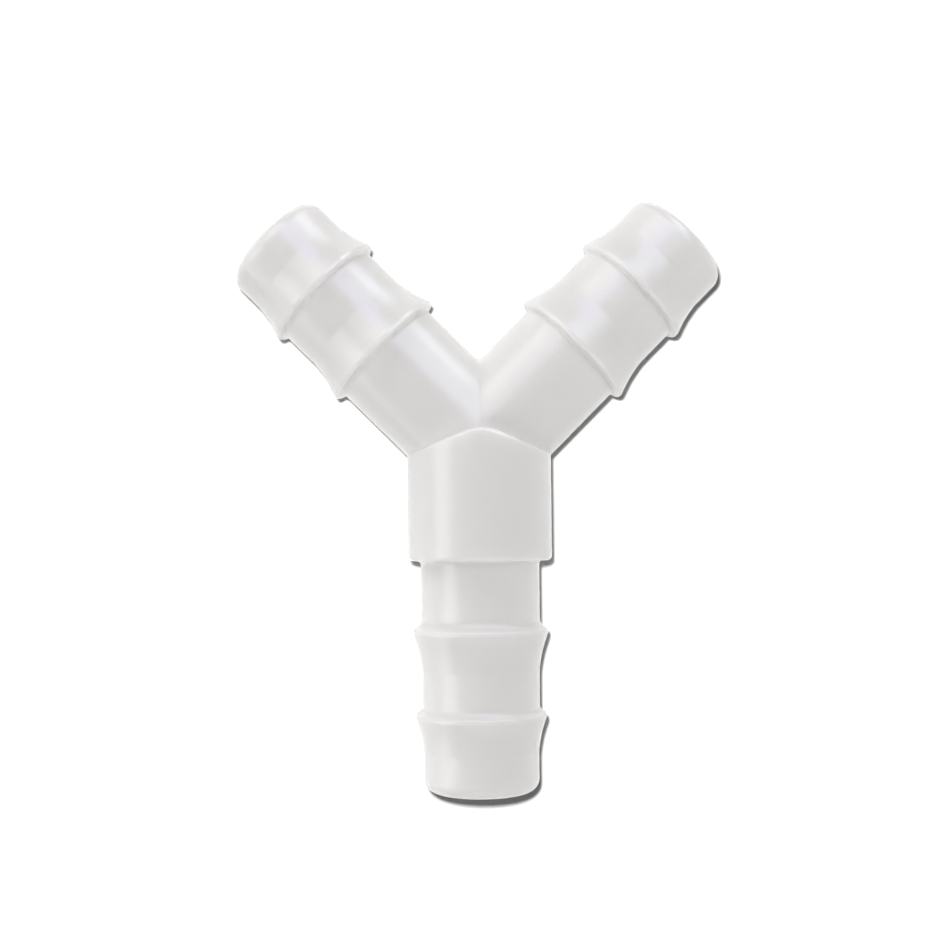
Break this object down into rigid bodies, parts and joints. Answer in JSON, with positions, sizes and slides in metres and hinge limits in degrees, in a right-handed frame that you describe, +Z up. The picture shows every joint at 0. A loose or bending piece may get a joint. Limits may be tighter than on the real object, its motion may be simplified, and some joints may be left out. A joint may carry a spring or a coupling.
{
  "type": "tubing y connector",
  "caption": "One-piece moulded plastic Y connector for flexible tubing: a straight stem with a round mitred collar and a pair of splayed arms, each ending in a barbed tail, with merging bores.",
  "frame": {"origin": "centre of the part's bounding box, on the stem's axis and in the plane of the three axes", "axes": "+Y along the stem's axis from its mouth towards the arms, +X towards the right arm as seen from above, +Z up, out of the plane of the three axes"},
  "size_m": [0.0492, 0.0596, 0.0146],
  "materials": {
    "natural_plastic": "satin, natural milky white, as moulded"
  },
  "bodies": {
    "root": {"y_body": "natural_plastic"}
  },
  "joints": []
}
